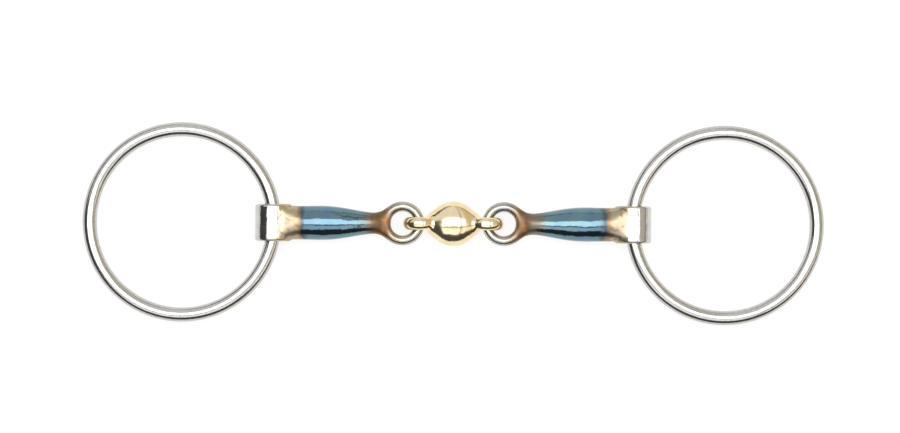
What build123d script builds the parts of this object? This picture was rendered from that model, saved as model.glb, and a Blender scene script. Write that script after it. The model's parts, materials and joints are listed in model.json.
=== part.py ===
from build123d import *
import os
from math import asin, cos, degrees, pi, sin, sqrt

# A double-jointed loose-ring snaffle bit, lying flat on a table.
# +X runs to the right along the mouthpiece, +Y runs across it in the plane of the rings,
# +Z points up from the table, and the origin is the middle of the centre link.

# Loose rings
RING_OUTER_D = 70.0
RING_WIRE_D = 5.0

# Bored butt at the outer end of each arm
BORE_X = 63.1
BORE_D = 6.0
BORE_MOUTH_D = 6.9
BORE_MOUTH_DEPTH = 0.45
BUTT_D = 12.6
BUTT_LENGTH = 13.0
BUTT_EDGE_RADIUS = 0.6

# Eye at the inner end of each arm; its wire is centred on the fold axis
FOLD_X = 11.8
EYE_MID_R = 5.95
EYE_HALF_ACROSS = 1.75
EYE_HALF_DEPTH = 2.1

# Arm from the eye to the butt: distance from the middle, half width (Y), half depth (Z)
# and the squareness of the section, where 2 is round and larger numbers are squarer
ARM_SECTIONS = (
    (23.4, 4.8, 2.0, 2.0),
    (25.4, 4.15, 2.85, 2.0),
    (27.7, 3.72, 3.62, 2.0),
    (30.4, 3.95, 3.95, 2.0),
    (34.5, 4.66, 4.66, 2.0),
    (38.7, 5.4, 5.4, 2.0),
    (42.9, 5.88, 5.88, 2.0),
    (47.0, 6.0, 6.0, 2.0),
    (53.6, 5.88, 5.88, 2.0),
    (57.4, 6.0, 5.75, 2.7),
    (60.6, 6.35, 5.55, 4.2),
    (62.4, 6.45, 5.4, 5.0),
)

# Centre link: the olive in the middle and the loop at each end
LOOP_HOLE_R = 2.5
LOOP_HALF_ACROSS = 1.7
LOOP_HALF_WIDTH = 2.25
OLIVE_SECTIONS = (
    (0.0, 7.85, 6.0),
    (1.9, 7.65, 5.86),
    (3.9, 6.95, 5.4),
    (6.0, 5.55, 4.6),
    (8.0, 3.95, 3.75),
    (9.5, 3.0, 3.3),
    (10.8, 2.35, 3.1),
)
ROUND = 2.0

# Points on each section outline
SECTION_POINTS = 32

RING_MID_R = RING_OUTER_D / 2 - RING_WIRE_D / 2
TABLE_Z = -BUTT_D / 2


def bore_to_ring_centre():
    """Distance that leaves the bend of the wire equally clear of both sides of the bore."""
    sagitta = RING_MID_R - sqrt(RING_MID_R**2 - (BUTT_LENGTH / 2) ** 2)
    return RING_MID_R - sagitta / 2


def ring_droop():
    """Angle that lets the far side of the ring down on to the table."""
    reach = bore_to_ring_centre() + RING_MID_R
    return degrees(asin((-TABLE_Z - RING_WIRE_D / 2) / reach))


def section(x, half_width, half_depth, squareness):
    """Flat face across the X axis, from an ellipse to a soft-cornered rectangle."""
    outline = []
    for i in range(SECTION_POINTS):
        angle = 2 * pi * i / SECTION_POINTS
        wide = abs(cos(angle) / half_width) ** squareness
        deep = abs(sin(angle) / half_depth) ** squareness
        reach = (wide + deep) ** (-1 / squareness)
        outline.append((reach * cos(angle), reach * sin(angle)))
    return Plane.YZ.offset(x) * make_face(Spline(*outline, periodic=True))


def eye():
    """Closed loop of the arm, lying flat in the plane of the rings."""
    wire = Plane.XZ * Pos(EYE_MID_R, 0) * Ellipse(EYE_HALF_ACROSS, EYE_HALF_DEPTH)
    return Pos(FOLD_X + EYE_MID_R, 0, 0) * revolve(wire, Axis.Z)


def bore():
    """Hole through the butt with both mouths eased."""
    hole = Cylinder(BORE_D / 2, BUTT_LENGTH + 2)
    mouth = Cone(BORE_D / 2, BORE_MOUTH_D / 2, BORE_MOUTH_DEPTH)
    mouth_z = BUTT_LENGTH / 2 - BORE_MOUTH_DEPTH / 2
    hole += Pos(0, 0, mouth_z) * mouth
    hole += Pos(0, 0, -mouth_z) * Rot(180, 0, 0) * mouth
    return Pos(BORE_X, 0, 0) * Rot(90, 0, 0) * hole


def butt():
    """Barrel across the end of the arm with rounded end edges."""
    barrel = Cylinder(BUTT_D / 2, BUTT_LENGTH)
    barrel = fillet(barrel.edges().filter_by(GeomType.CIRCLE), BUTT_EDGE_RADIUS)
    return Pos(BORE_X, 0, 0) * Rot(90, 0, 0) * barrel


def right_arm():
    """One forged arm: eye, waisted neck, round body, squared flare and bored butt."""
    body = loft([section(*s) for s in ARM_SECTIONS])
    return eye() + body + butt() - bore()


def loop():
    """Loop of the centre link, standing across the plane of the rings."""
    mid_r = LOOP_HOLE_R + LOOP_HALF_ACROSS
    wire = Pos(mid_r, 0) * Ellipse(LOOP_HALF_ACROSS, LOOP_HALF_WIDTH)
    return Pos(FOLD_X, 0, 0) * revolve(wire, Axis.Y)


def loop_opening():
    """Waisted plug that clears the inside of a loop through the olive."""
    mid_r = LOOP_HOLE_R + LOOP_HALF_ACROSS
    reach = OLIVE_SECTIONS[0][1]
    plug = Pos(mid_r / 2, 0) * Rectangle(mid_r, 2 * reach)
    plug -= Pos(mid_r, 0) * Ellipse(LOOP_HALF_ACROSS, reach / 2)
    return Pos(FOLD_X, 0, 0) * revolve(plug, Axis.Y)


def lozenge():
    """Centre link: an olive with a loop at each end."""
    mirrored = [(-x, wide, deep) for x, wide, deep in reversed(OLIVE_SECTIONS[1:])]
    olive = loft([section(*s, ROUND) for s in mirrored + list(OLIVE_SECTIONS)])
    loops = loop() + mirror(loop(), Plane.YZ)
    openings = loop_opening() + mirror(loop_opening(), Plane.YZ)
    return olive - openings + loops


def ring(side):
    """Round wire ring through the butt, its far side resting on the table."""
    hoop = Torus(RING_MID_R, RING_WIRE_D / 2)
    hoop = Rot(0, side * ring_droop(), 0) * Pos(side * bore_to_ring_centre(), 0, 0) * hoop
    return Pos(side * BORE_X, 0, 0) * hoop


os.makedirs("parts", exist_ok=True)
parts = {
    "right_ring": ring(1),
    "left_ring": ring(-1),
    "right_arm": right_arm(),
    "left_arm": mirror(right_arm(), Plane.YZ),
    "lozenge": lozenge(),
}
for name, part in parts.items():
    export_step(part, f"parts/{name}.step")
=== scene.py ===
import json
import math

import bpy
import numpy as np
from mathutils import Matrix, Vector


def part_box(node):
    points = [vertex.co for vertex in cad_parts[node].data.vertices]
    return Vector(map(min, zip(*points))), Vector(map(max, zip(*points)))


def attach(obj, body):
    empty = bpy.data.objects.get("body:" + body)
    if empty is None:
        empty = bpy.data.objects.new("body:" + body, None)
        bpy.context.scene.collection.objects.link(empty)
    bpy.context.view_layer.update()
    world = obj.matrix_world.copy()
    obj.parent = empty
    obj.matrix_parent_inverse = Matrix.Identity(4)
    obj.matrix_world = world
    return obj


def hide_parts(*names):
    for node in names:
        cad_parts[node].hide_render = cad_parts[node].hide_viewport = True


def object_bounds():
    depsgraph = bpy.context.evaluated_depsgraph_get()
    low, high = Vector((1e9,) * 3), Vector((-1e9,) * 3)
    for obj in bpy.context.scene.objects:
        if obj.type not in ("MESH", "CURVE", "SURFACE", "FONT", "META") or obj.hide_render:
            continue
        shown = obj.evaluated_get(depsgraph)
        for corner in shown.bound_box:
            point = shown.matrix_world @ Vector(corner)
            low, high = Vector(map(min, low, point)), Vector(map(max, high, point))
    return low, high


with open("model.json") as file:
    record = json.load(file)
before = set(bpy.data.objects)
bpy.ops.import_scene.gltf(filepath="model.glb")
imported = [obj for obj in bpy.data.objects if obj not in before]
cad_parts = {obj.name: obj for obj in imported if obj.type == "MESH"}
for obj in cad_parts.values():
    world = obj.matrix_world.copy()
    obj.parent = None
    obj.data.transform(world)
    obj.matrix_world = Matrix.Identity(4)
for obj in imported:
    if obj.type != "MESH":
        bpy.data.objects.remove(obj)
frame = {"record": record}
cad_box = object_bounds()
MM = 0.001
SIDES = ((1, "right"), (-1, "left"))

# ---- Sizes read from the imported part, in millimetres ----

joint_at = {j["name"]: np.array(j["pos_m"]) / MM for j in frame["record"]["behaviour"]["joints"]}
FOLD_X = joint_at["right_arm_fold"][0]
BORE_X = joint_at["right_ring_swing"][0]


def box_mm(node):
    """Lowest and highest corner of a CAD node in millimetres."""
    low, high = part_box(node)
    return np.array(low) / MM, np.array(high) / MM


ring_low, ring_high = box_mm("right_ring")
arm_low, arm_high = box_mm("right_arm")
link_low, link_high = box_mm("lozenge")
RING_WIRE_R = 2.5
RING_MID_R = (ring_high[1] - ring_low[1]) / 2 - RING_WIRE_R
EYE_OUTER_R = arm_high[1]
TABLE_Z = arm_low[2]

# Shapes of the arm and the link, following the CAD solids
BUTT_R = arm_high[0] - BORE_X
BUTT_HALF_LENGTH = 6.5
BORE_R = 3.0
EYE_HALF_ACROSS = 1.75
EYE_HALF_DEPTH = 2.1
LOOP_HOLE_R = 2.5
LOOP_HALF_ACROSS = 1.7
LOOP_HALF_WIDTH = 2.25
# Distance from the middle, half width, half depth, and squareness where 2 is round
ARM_SECTIONS = (
    (22.6, 5.1, 1.7, 2.0),
    (23.9, 4.7, 2.15, 2.0),
    (25.6, 4.1, 2.9, 2.0),
    (27.7, 3.72, 3.62, 2.0),
    (30.4, 3.95, 3.95, 2.0),
    (34.5, 4.66, 4.66, 2.0),
    (38.7, 5.4, 5.4, 2.0),
    (42.9, 5.88, 5.88, 2.0),
    (47.0, 6.0, 6.0, 2.0),
    (53.6, 5.86, 5.86, 2.05),
    (57.4, 6.0, 5.75, 2.7),
    (60.6, 6.35, 5.55, 4.2),
    (62.6, 6.45, 5.35, 5.0),
)
# Distance from the middle, half width, half depth
OLIVE_SECTIONS = (
    (0.0, 7.85, 6.0),
    (1.9, 7.65, 5.86),
    (3.9, 6.95, 5.4),
    (6.0, 5.55, 4.6),
    (8.0, 3.95, 3.75),
    (9.5, 3.0, 3.3),
    (11.0, 2.3, 3.1),
)

ROUND = 2.0

# Size of the fillet where two shapes meet, or of a rounded edge
ARM_START_EDGE = 0.8
ARM_END_EDGE = 0.3
BUTT_EDGE = 1.1
EYE_FILLET = 1.3
BUTT_FILLET = 0.7
BORE_EDGE = 0.7
OLIVE_END_EDGE = 0.6
OLIVE_NOTCH_EDGE = 1.2
LOOP_FILLET = 1.2

# Fineness of the meshes
STEP = 0.28
RING_POINTS_AROUND = 384
RING_POINTS_ON_WIRE = 64
SLOPE_STEP = 0.02
SMALLEST_SLOPE_SQUARED = 0.05
PUSHES = 4
NEARLY_ZERO = 1e-9

# ---- Shape tools ----


def curve_through(rows, column, even=False):
    """Smooth curve of one column of a section table against its first column.

    even says that the curve is mirrored about zero.
    """
    at = np.array([r[0] for r in rows])
    value = np.array([r[column] for r in rows])
    if even:
        at = np.concatenate([-at[:0:-1], at])
        value = np.concatenate([value[:0:-1], value])
    gap = np.diff(at)
    size = len(at)
    system = np.eye(size)
    pull = np.zeros(size)
    for i in range(1, size - 1):
        system[i, i - 1 : i + 2] = gap[i - 1], 2 * (gap[i - 1] + gap[i]), gap[i]
        pull[i] = 6 * ((value[i + 1] - value[i]) / gap[i] - (value[i] - value[i - 1]) / gap[i - 1])
    bend = np.linalg.solve(system, pull)

    def curve(x):
        x = np.clip(x, at[0], at[-1])
        i = np.clip(np.searchsorted(at, x) - 1, 0, size - 2)
        h = gap[i]
        a = at[i + 1] - x
        b = x - at[i]
        cubic = bend[i] * a**3 / (6 * h) + bend[i + 1] * b**3 / (6 * h)
        left = (value[i] / h - bend[i] * h / 6) * a
        return cubic + left + (value[i + 1] / h - bend[i + 1] * h / 6) * b

    return curve


def union(a, b, blend):
    """Both solids, with a fillet of about that size where they meet."""
    h = np.clip(blend - np.abs(a - b), 0, None) / blend
    return np.minimum(a, b) - h * h * blend / 4


def common(a, b, blend):
    """What two solids share, with its edge rounded over by about that size."""
    return -union(-a, -b, blend)


def section_distance(y, z, wide, deep, square):
    """How far a point is outside a soft-cornered section."""
    reach = np.hypot(y, z) + NEARLY_ZERO
    gauge = (np.abs(y / wide) ** square + np.abs(z / deep) ** square) ** (1 / square)
    return reach - reach / (gauge + NEARLY_ZERO)


def hoop_distance(across, height, mid_r, half_across, half_height):
    """How far a point is outside a hoop of oval wire, from its distance off the hoop's axis."""
    return section_distance(across - mid_r, height, half_across, half_height, ROUND)


def skin(name, distance, low, high, step):
    """Smooth mesh of the surface where distance is zero, inside a box in millimetres.

    Each cell that the surface crosses gets one point, which is then pushed on to the surface.
    """
    margin = 2 * step
    axes = [np.arange(a - margin, b + margin, step) for a, b in zip(low, high)]
    field = distance(*np.meshgrid(*axes, indexing="ij"))
    cells = np.array(field.shape) - 1
    total = np.zeros((*cells, 3))
    count = np.zeros(cells)
    quads = []
    for axis in range(3):
        near = field[tuple(slice(-1) if k == axis else slice(None) for k in range(3))]
        far = field[tuple(slice(1, None) if k == axis else slice(None) for k in range(3))]
        edge = np.argwhere((near < 0) != (far < 0))
        where = tuple(edge.T)
        point = edge.astype(float)
        point[:, axis] += near[where] / (near[where] - far[where])
        u, v = (axis + 1) % 3, (axis + 2) % 3
        around = []
        for du, dv in ((0, 0), (1, 0), (1, 1), (0, 1)):
            cell = edge.copy()
            cell[:, u] -= du
            cell[:, v] -= dv
            np.add.at(total, tuple(cell.T), point)
            np.add.at(count, tuple(cell.T), 1)
            around.append(np.ravel_multi_index(tuple(cell.T), tuple(cells)))
        quad = np.stack(around, axis=1)
        leaves = near[where] < 0
        quads.append(np.where(leaves[:, None], quad, quad[:, ::-1]))
    used, quad = np.unique(np.concatenate(quads), return_inverse=True)
    middle = total.reshape(-1, 3)[used] / count.reshape(-1)[used][:, None]
    points = middle * step + [a[0] for a in axes]
    for _ in range(PUSHES):
        slope = np.stack(
            [
                (distance(*(points + o).T) - distance(*(points - o).T)) / (2 * SLOPE_STEP)
                for o in np.eye(3) * SLOPE_STEP
            ],
            axis=1,
        )
        square = np.maximum((slope**2).sum(axis=1), SMALLEST_SLOPE_SQUARED)
        push = distance(*points.T) / square
        points = points - np.clip(push, -step, step)[:, None] * slope
    normals = slope / np.linalg.norm(slope, axis=1)[:, None]
    return mesh_object(name, points, quad.reshape(-1, 4), normals)


def mesh_object(name, points, faces, normals):
    """Mesh object in metres from points in millimetres."""
    mesh = bpy.data.meshes.new(name)
    mesh.from_pydata((points * MM).tolist(), [], faces.tolist())
    mesh.validate()
    mesh.polygons.foreach_set("use_smooth", [True] * len(mesh.polygons))
    mesh.normals_split_custom_set_from_vertices(normals.tolist())
    made = bpy.data.objects.new(name, mesh)
    bpy.context.scene.collection.objects.link(made)
    return made


# ---- Arms ----

arm_wide, arm_deep, arm_square = (curve_through(ARM_SECTIONS, c) for c in (1, 2, 3))
ARM_START = ARM_SECTIONS[0][0]
ARM_END = ARM_SECTIONS[-1][0]
EYE_MID_R = EYE_OUTER_R - EYE_HALF_ACROSS


def arm_distance(side):
    """Distance function of the arm on one side: body, eye and bored butt."""

    def distance(x, y, z):
        x = side * x
        body = section_distance(y, z, arm_wide(x), arm_deep(x), arm_square(x))
        body = common(body, ARM_START - x, ARM_START_EDGE)
        body = common(body, x - ARM_END, ARM_END_EDGE)
        from_eye = np.hypot(x - FOLD_X - EYE_MID_R, y)
        eye = hoop_distance(from_eye, z, EYE_MID_R, EYE_HALF_ACROSS, EYE_HALF_DEPTH)
        from_bore = np.hypot(x - BORE_X, z)
        butt = common(from_bore - BUTT_R, np.abs(y) - BUTT_HALF_LENGTH, BUTT_EDGE)
        whole = union(union(body, eye, EYE_FILLET), butt, BUTT_FILLET)
        return common(whole, BORE_R - from_bore, BORE_EDGE)

    return distance


# ---- Centre link ----

olive_wide, olive_deep = (curve_through(OLIVE_SECTIONS, c, even=True) for c in (1, 2))
OLIVE_END = OLIVE_SECTIONS[-1][0]
LOOP_MID_R = LOOP_HOLE_R + LOOP_HALF_ACROSS


def link_distance(x, y, z):
    """How far a point is outside the olive with its two loops."""
    far = np.abs(x)
    olive = section_distance(y, z, olive_wide(far), olive_deep(far), ROUND)
    olive = common(olive, far - OLIVE_END, OLIVE_END_EDGE)
    from_fold = np.hypot(far - FOLD_X, z)
    olive = common(olive, LOOP_HOLE_R - from_fold, OLIVE_NOTCH_EDGE)
    loop = hoop_distance(from_fold, y, LOOP_MID_R, LOOP_HALF_ACROSS, LOOP_HALF_WIDTH)
    return union(olive, loop, LOOP_FILLET)


# ---- Rings ----


def ring_mesh(side):
    """Round wire hoop on the line of the CAD ring, tilted down to the table."""
    around, wire = RING_POINTS_AROUND, RING_POINTS_ON_WIRE
    reach = side * (ring_high[0] - RING_WIRE_R)
    far_z = ring_low[2] + RING_WIRE_R
    bore = np.array([side * BORE_X, 0, 0])
    out = np.array([reach, 0, far_z]) - bore
    radial = out / np.linalg.norm(out)
    middle = bore + out - radial * RING_MID_R
    across = np.array([0, 1.0, 0])
    up = np.cross(radial, across)
    a = np.linspace(0, 2 * math.pi, around, endpoint=False)[:, None, None]
    b = np.linspace(0, 2 * math.pi, wire, endpoint=False)[None, :, None]
    spoke = np.cos(a) * radial + np.sin(a) * across
    normal = np.cos(b) * spoke + np.sin(b) * up
    points = middle + RING_MID_R * spoke + RING_WIRE_R * normal
    i, j = np.meshgrid(np.arange(around), np.arange(wire), indexing="ij")
    i2, j2 = (i + 1) % around, (j + 1) % wire
    faces = np.stack([i * wire + j, i2 * wire + j, i2 * wire + j2, i * wire + j2], axis=-1)
    return mesh_object(
        f"ring_{'right' if side > 0 else 'left'}",
        points.reshape(-1, 3),
        faces.reshape(-1, 4),
        normal.reshape(-1, 3),
    )


# ---- Pieces ----

rings = {side: ring_mesh(side) for side in (1, -1)}
arms = {}
for side, word in SIDES:
    low, high = box_mm(f"{word}_arm")
    arms[side] = skin(f"arm_{word}", arm_distance(side), low, high, STEP)
link = skin("link_olive", link_distance, link_low, link_high, STEP)

for side, word in SIDES:
    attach(rings[side], f"{word}_ring")
    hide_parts(f"{word}_ring")
    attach(arms[side], f"{word}_arm")
    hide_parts(f"{word}_arm")
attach(link, "lozenge")
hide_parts("lozenge")

# ---- Node helpers ----


class Nodes:
    """Short way to write a node tree."""

    def __init__(self, tree):
        self.tree = tree

    def put(self, socket, value):
        """A link from another node's socket, or a plain value."""
        if isinstance(value, bpy.types.NodeSocket):
            self.tree.links.new(value, socket)
        else:
            socket.default_value = value

    def add(self, kind, **inputs):
        node = self.tree.nodes.new(kind)
        for key, value in inputs.items():
            self.put(node.inputs[key.replace("_", " ")], value)
        return node

    def math(self, operation, a, b=0.0):
        node = self.tree.nodes.new("ShaderNodeMath")
        node.operation = operation
        self.put(node.inputs[0], a)
        self.put(node.inputs[1], b)
        return node.outputs[0]

    def spread(self, value, low, high, to_low=0.0, to_high=1.0, soft=False):
        """The value's range from low to high, moved to another range and kept inside it."""
        node = self.add("ShaderNodeMapRange", Value=value)
        node.interpolation_type = "SMOOTHSTEP" if soft else "LINEAR"
        for key, number in zip(("From Min", "From Max", "To Min", "To Max"), (low, high, to_low, to_high)):
            self.put(node.inputs[key], number)
        return node.outputs[0]

    def between(self, value, low, high, edge, soft=False):
        """1 between two numbers and 0 outside them, fading over an edge on each side."""
        rise = self.spread(value, low - edge, low + edge, soft=soft)
        fall = self.spread(value, high - edge, high + edge, soft=soft)
        return self.math("SUBTRACT", rise, fall)

    def mix(self, share, a, b, kind="MIX"):
        node = self.tree.nodes.new("ShaderNodeMix")
        node.data_type = "RGBA"
        node.blend_type = kind
        self.put(node.inputs[0], share)
        for socket, value in zip((node.inputs[6], node.inputs[7]), (a, b)):
            self.put(socket, value if isinstance(value, bpy.types.NodeSocket) else (*value, 1))
        return node.outputs[2]


class Material(Nodes):
    """Nodes of one material, with its shader and the place on the part."""

    def __init__(self, name, **values):
        self.material = bpy.data.materials.new(name)
        self.material.use_nodes = True
        super().__init__(self.material.node_tree)
        self.shader = self.tree.nodes["Principled BSDF"]
        self.place = self.add("ShaderNodeTexCoord").outputs["Object"]
        self.shade(**values)

    def shade(self, **values):
        for key, value in values.items():
            self.put(self.shader.inputs[key.replace("_", " ")], value)

    def noise(self, scale, detail=2.0, stretch=(1, 1, 1), roughness=0.5):
        """Noise from 0 to 1 with that many grains to the metre."""
        mapping = self.add("ShaderNodeMapping", Vector=self.place, Scale=stretch)
        node = self.add("ShaderNodeTexNoise", Vector=mapping.outputs[0], Scale=scale)
        node.inputs["Detail"].default_value = detail
        node.inputs["Roughness"].default_value = roughness
        return node.outputs[0]

    def ramp(self, value, stops):
        """Colour that eases from stop to stop."""
        node = self.add("ShaderNodeValToRGB", Fac=value)
        node.color_ramp.interpolation = "EASE"
        while len(node.color_ramp.elements) < len(stops):
            node.color_ramp.elements.new(0.5)
        for element, (at, colour) in zip(node.color_ramp.elements, stops):
            element.position = at
            element.color = (*colour, 1)
        return node.outputs[0]

    def bump(self, height, distance, normal=None):
        node = self.add("ShaderNodeBump", Height=height, Distance=distance)
        if normal is not None:
            self.put(node.inputs["Normal"], normal)
        return node.outputs[0]


# ---- Metals ----

# Heat colours of an arm: distance from the middle in millimetres, colour
TEMPER_COLOURS = (
    (17.0, (0.47, 0.44, 0.38)),
    (21.5, (0.35, 0.29, 0.22)),
    (24.0, (0.23, 0.135, 0.07)),
    (26.5, (0.185, 0.12, 0.06)),
    (29.0, (0.165, 0.12, 0.07)),
    (30.8, (0.17, 0.19, 0.18)),
    (33.0, (0.15, 0.24, 0.27)),
    (38.0, (0.14, 0.235, 0.275)),
    (46.0, (0.135, 0.225, 0.28)),
    (51.0, (0.135, 0.22, 0.26)),
    # partly a dark temper band and partly painted shade: this darker stop breaks the highlight where the
    # blue meets the straw
    (52.8, (0.085, 0.12, 0.13)),
    (54.0, (0.30, 0.20, 0.13)),
    (55.2, (0.44, 0.35, 0.23)),
    (59.0, (0.48, 0.40, 0.28)),
    (61.8, (0.56, 0.50, 0.41)),
    (64.0, (0.60, 0.58, 0.55)),
)
TEMPER_START = 10.0
TEMPER_END = 70.0

# Stretches of the arm that carry a tint of their own, in millimetres from the middle, then the tints; the
# pale grey for the underside of the blued stretch is a painted reflection of the white floor
BLUED = (31.0, 53.0)
RIGHT_NECK = (26.5, 31.0)
NECK = (22.5, 28.0)
FLARE = (54.5, 60.0)
# painted reflection: pale grey laid on the underside of the blued stretch for the white floor seen in it
# at grazing angles
PAINTED_UNDERSIDE_SHEEN = (0.24, 0.255, 0.27)
GREY_SCALE = (0.26, 0.24, 0.21)
ORANGE_SCALE = (0.38, 0.15, 0.055)
HEAT_BROWN = (0.20, 0.12, 0.07)

# Rougher stretches of the arm: from, to, fading edge, added roughness
ROUGH_STRETCHES = (
    (12.0, 30.0, 3.0, 0.10),
    (22.5, 29.5, 1.5, 0.22),
    (51.5, 54.5, 1.0, 0.15),
    (54.5, 60.5, 1.5, 0.26),
)


def polished_ring():
    """Stainless wire, polished along its length, with faint clouding."""
    n = Material("polished_stainless", Metallic=1.0)
    cloud = n.spread(n.noise(900, 3, roughness=0.6), 0.35, 0.7)
    scratches = n.noise(2600, 2, stretch=(1, 0.08, 1))
    n.shade(
        Base_Color=n.mix(cloud, (0.49, 0.48, 0.46), (0.58, 0.57, 0.55)),
        Roughness=n.spread(scratches, 0.3, 0.75, 0.13, 0.21),
        Normal=n.bump(n.noise(220, 2), 0.06 * MM),
    )
    return n.material


def temper(n, along):
    """Heat colours along the arm under a slow cloud of stain."""
    span = TEMPER_END - TEMPER_START
    stops = [((at - TEMPER_START) / span, colour) for at, colour in TEMPER_COLOURS]
    heat = n.ramp(n.spread(along, TEMPER_START, TEMPER_END), stops)
    cloud = n.spread(n.noise(260, 4), 0.3, 0.7)
    return n.mix(0.8, heat, n.mix(cloud, (0.78, 0.86, 1.06), (1.12, 1.08, 0.94)), "MULTIPLY")


def tinted(n, colour, mask, where, tint):
    """The colour, tinted by a mask inside one stretch of the arm."""
    return n.mix(n.math("MULTIPLY", mask, where), colour, tint)


def blued_iron():
    """Sweet iron, blued by heat, with bronze necks, ground straw flares and bare ends."""
    n = Material("heat_blued_iron", Metallic=1.0)
    axes = n.add("ShaderNodeSeparateXYZ", Vector=n.place)
    x, z = (n.math("DIVIDE", axes.outputs[axis], MM) for axis in ("X", "Z"))
    wander = n.spread(n.noise(130, 3), 0.0, 1.0, -3.0, 3.0)
    along = n.math("ADD", n.math("ABSOLUTE", x), wander)

    blued = n.between(along, *BLUED, 2.0)
    right_neck, neck, flare = (n.between(along, *s, 1.5) for s in (RIGHT_NECK, NECK, FLARE))
    colour = temper(n, along)
    # painted reflection: the blued stretch turns pale grey towards its underside, standing in for the
    # white floor reflected at grazing angles
    colour = tinted(n, colour, n.spread(z, -4.2, 0.2, 0.85, 0.0), blued, PAINTED_UNDERSIDE_SHEEN)
    colour = tinted(n, colour, n.spread(x, 0.0, 10.0, 0.0, 0.45), right_neck, GREY_SCALE)
    colour = tinted(n, colour, n.spread(n.noise(330, 2), 0.52, 0.64, 0.0, 0.6), neck, ORANGE_SCALE)
    colour = tinted(n, colour, n.spread(n.noise(420, 4), 0.54, 0.66, 0.0, 0.7), flare, HEAT_BROWN)

    rough = n.spread(n.noise(900, 3), 0.3, 0.7, 0.07, 0.15)
    for low, high, edge, added in ROUGH_STRETCHES:
        rough = n.math("ADD", rough, n.math("MULTIPLY", n.between(along, low, high, edge), added))
    hammered = n.bump(n.noise(170, 2), 0.28 * MM)
    n.shade(Base_Color=colour, Roughness=rough, Normal=n.bump(n.noise(1500, 2), 0.02 * MM, hammered))
    return n.material


def brass_link():
    """Cast pale brass alloy, polished."""
    n = Material("polished_pale_brass", Metallic=1.0)
    cloud = n.spread(n.noise(320, 3), 0.3, 0.7)
    n.shade(
        Base_Color=n.mix(cloud, (0.80, 0.64, 0.38), (0.88, 0.76, 0.52)),
        Roughness=n.spread(n.noise(1100, 3), 0.3, 0.7, 0.10, 0.20),
        Normal=n.bump(n.noise(200, 2), 0.15 * MM),
    )
    return n.material


ring_metal = polished_ring()
arm_metal = blued_iron()
for side in (1, -1):
    rings[side].data.materials.append(ring_metal)
    arms[side].data.materials.append(arm_metal)
link.data.materials.append(brass_link())

# ---- Floor ----

FLOOR_HALF = 3.0
floor_mesh = bpy.data.meshes.new("floor")
floor_mesh.from_pydata(
    [(x * FLOOR_HALF, y * FLOOR_HALF, TABLE_Z * MM) for x, y in ((-1, -1), (1, -1), (1, 1), (-1, 1))],
    [],
    [(0, 1, 2, 3)],
)
floor = bpy.data.objects.new("floor", floor_mesh)
bpy.context.scene.collection.objects.link(floor)
# white paper lit from below, which leaves almost no shadow
paper = Material(
    "lit_white_paper",
    Base_Color=(0.22, 0.22, 0.22, 1),
    Roughness=0.8,
    Emission_Color=(1, 1, 1, 1),
    Emission_Strength=0.80,
)
floor_mesh.materials.append(paper.material)

# ---- Room and light ----

# The room as angles from overhead in degrees: front and back lean toward Y, left and right toward X
FAR_ROUND = 179.0
FRONT_GAP = (-19.0, -12.0)
FRONT_BRIGHT = (-47.0, -19.0)
FRONT_DARK = (-FAR_ROUND, -47.0)
LEFT_DARK = (-FAR_ROUND, -40.0)
LEFT_DARK_UP_TO = 18.0
LOW_LEFT_DARK = (-FAR_ROUND, -68.0)
RIGHT_GAP = (24.0, 30.0)
RIGHT_DIM = (43.0, FAR_ROUND)
LOW_RIGHT_DIM = (74.0, FAR_ROUND)
SOFTBOX = ((-34.0, 24.5), (-10.0, 24.0))
STRIP_LIGHT = ((29.5, 38.0), (-10.0, 24.0))
LIGHT_HEIGHT = 2.2

# Radiance of the walls, of the brighter wall in front, of the dark room, of the lights and of
# the background that the camera sees, then the colour of the room and of its right side
WALL_LEVEL = 0.85
FRONT_LEVEL = 1.45
DARK_LEVEL = 0.07
LIGHT_LEVEL = 2.6
LIGHT_COLOUR = (1.0, 0.97, 0.93)
SEEN_LEVEL = 0.96
ROOM_TINTS = ((0.98, 0.99, 1.0), (1.08, 0.95, 0.76))


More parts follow.
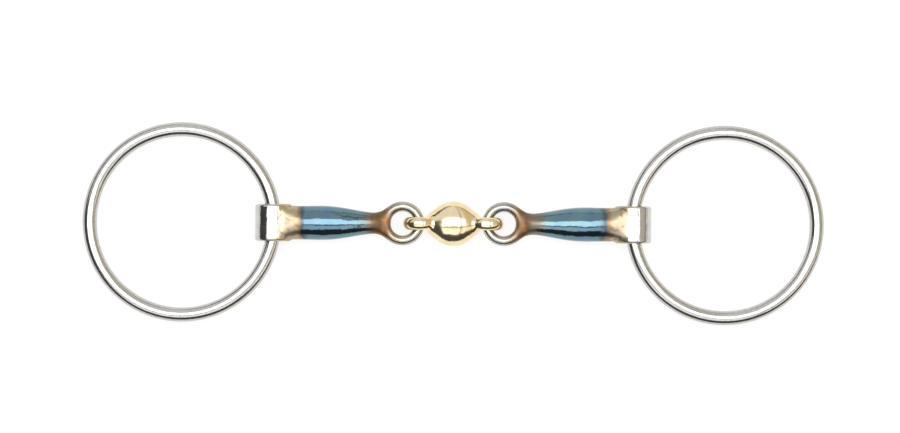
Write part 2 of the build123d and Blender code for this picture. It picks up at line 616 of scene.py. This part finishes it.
def studio_room():
    """World of soft-edged bands: light walls, dark in front and at the left, warmer at the right."""
    world = bpy.data.worlds.new("studio")
    world.use_nodes = True
    n = Nodes(world.node_tree)
    n.tree.nodes.clear()
    toward = n.add("ShaderNodeSeparateXYZ", Vector=n.add("ShaderNodeTexCoord").outputs["Generated"])
    x, y, z = toward.outputs
    lean_x = n.math("DEGREES", n.math("ARCTAN2", x, z))
    lean_y = n.math("DEGREES", n.math("ARCTAN2", y, z))

    def band(lean, limits, share=1.0, edge=3.0):
        return n.math("MULTIPLY", n.between(lean, *limits, edge, soft=True), share)

    near_side = band(lean_y, (-FAR_ROUND, LEFT_DARK_UP_TO), edge=6.0)
    left = n.math("MULTIPLY", band(lean_x, LEFT_DARK), near_side)
    dark = band(lean_y, FRONT_DARK)
    for shade in (
        left,
        band(lean_x, LOW_LEFT_DARK),
        n.math("ADD", band(lean_x, RIGHT_DIM, 0.28), band(lean_x, LOW_RIGHT_DIM, 0.30)),
        band(lean_y, FRONT_GAP, 0.7),
        band(lean_x, RIGHT_GAP, 0.8, edge=1.0),
    ):
        dark = n.math("MAXIMUM", dark, shade)
    lit = n.math("ADD", WALL_LEVEL, band(lean_y, FRONT_BRIGHT, FRONT_LEVEL - WALL_LEVEL))
    level = n.math("ADD", n.math("MULTIPLY", lit, n.math("SUBTRACT", 1.0, dark)), DARK_LEVEL)
    colour = n.mix(band(lean_x, RIGHT_DIM), *ROOM_TINTS)

    reflected = n.add("ShaderNodeBackground", Strength=level, Color=colour)
    seen = n.add("ShaderNodeBackground", Strength=SEEN_LEVEL, Color=(1, 1, 1, 1))
    choice = n.tree.nodes.new("ShaderNodeMixShader")
    n.put(choice.inputs[0], n.add("ShaderNodeLightPath").outputs["Is Camera Ray"])
    n.put(choice.inputs[1], reflected.outputs[0])
    n.put(choice.inputs[2], seen.outputs[0])
    n.add("ShaderNodeOutputWorld", Surface=choice.outputs[0])
    return world


def level_light(name, lean_x, lean_y):
    """Level light overhead, between two angles toward X and two toward Y."""
    left, right = (LIGHT_HEIGHT * math.tan(math.radians(a)) for a in lean_x)
    near, far = (LIGHT_HEIGHT * math.tan(math.radians(a)) for a in lean_y)
    lamp = bpy.data.lights.new(name, "AREA")
    lamp.shape = "RECTANGLE"
    lamp.size = right - left
    lamp.size_y = far - near
    lamp.energy = LIGHT_LEVEL * math.pi * lamp.size * lamp.size_y
    lamp.color = LIGHT_COLOUR
    made = bpy.data.objects.new(name, lamp)
    made.location = ((left + right) / 2, (near + far) / 2, LIGHT_HEIGHT)
    bpy.context.scene.collection.objects.link(made)


bpy.context.scene.world = studio_room()
level_light("softbox", *SOFTBOX)
level_light("strip_light", *STRIP_LIGHT)

# ---- Camera ----

# Height in metres, the share of the picture's width that the bit fills, and roll in degrees
CAMERA_HEIGHT = 1.6
WIDTH_FILLED = 0.8256
ROLL = 0.38
SENSOR_WIDTH = 36.0
SHIFT = (-0.0036, 0.0080)
camera_data = bpy.data.cameras.new("camera")
camera = bpy.data.objects.new("camera", camera_data)
bpy.context.scene.collection.objects.link(camera)
bpy.context.scene.camera = camera
camera_data.sensor_width = SENSOR_WIDTH
frame_width = (cad_box[1][0] - cad_box[0][0]) / WIDTH_FILLED
camera_data.lens = SENSOR_WIDTH * CAMERA_HEIGHT / frame_width
camera.location = (0, 0, CAMERA_HEIGHT)
camera.rotation_euler = (0, 0, math.radians(ROLL))
camera_data.shift_x, camera_data.shift_y = SHIFT

bpy.context.scene.view_settings.view_transform = "Standard"
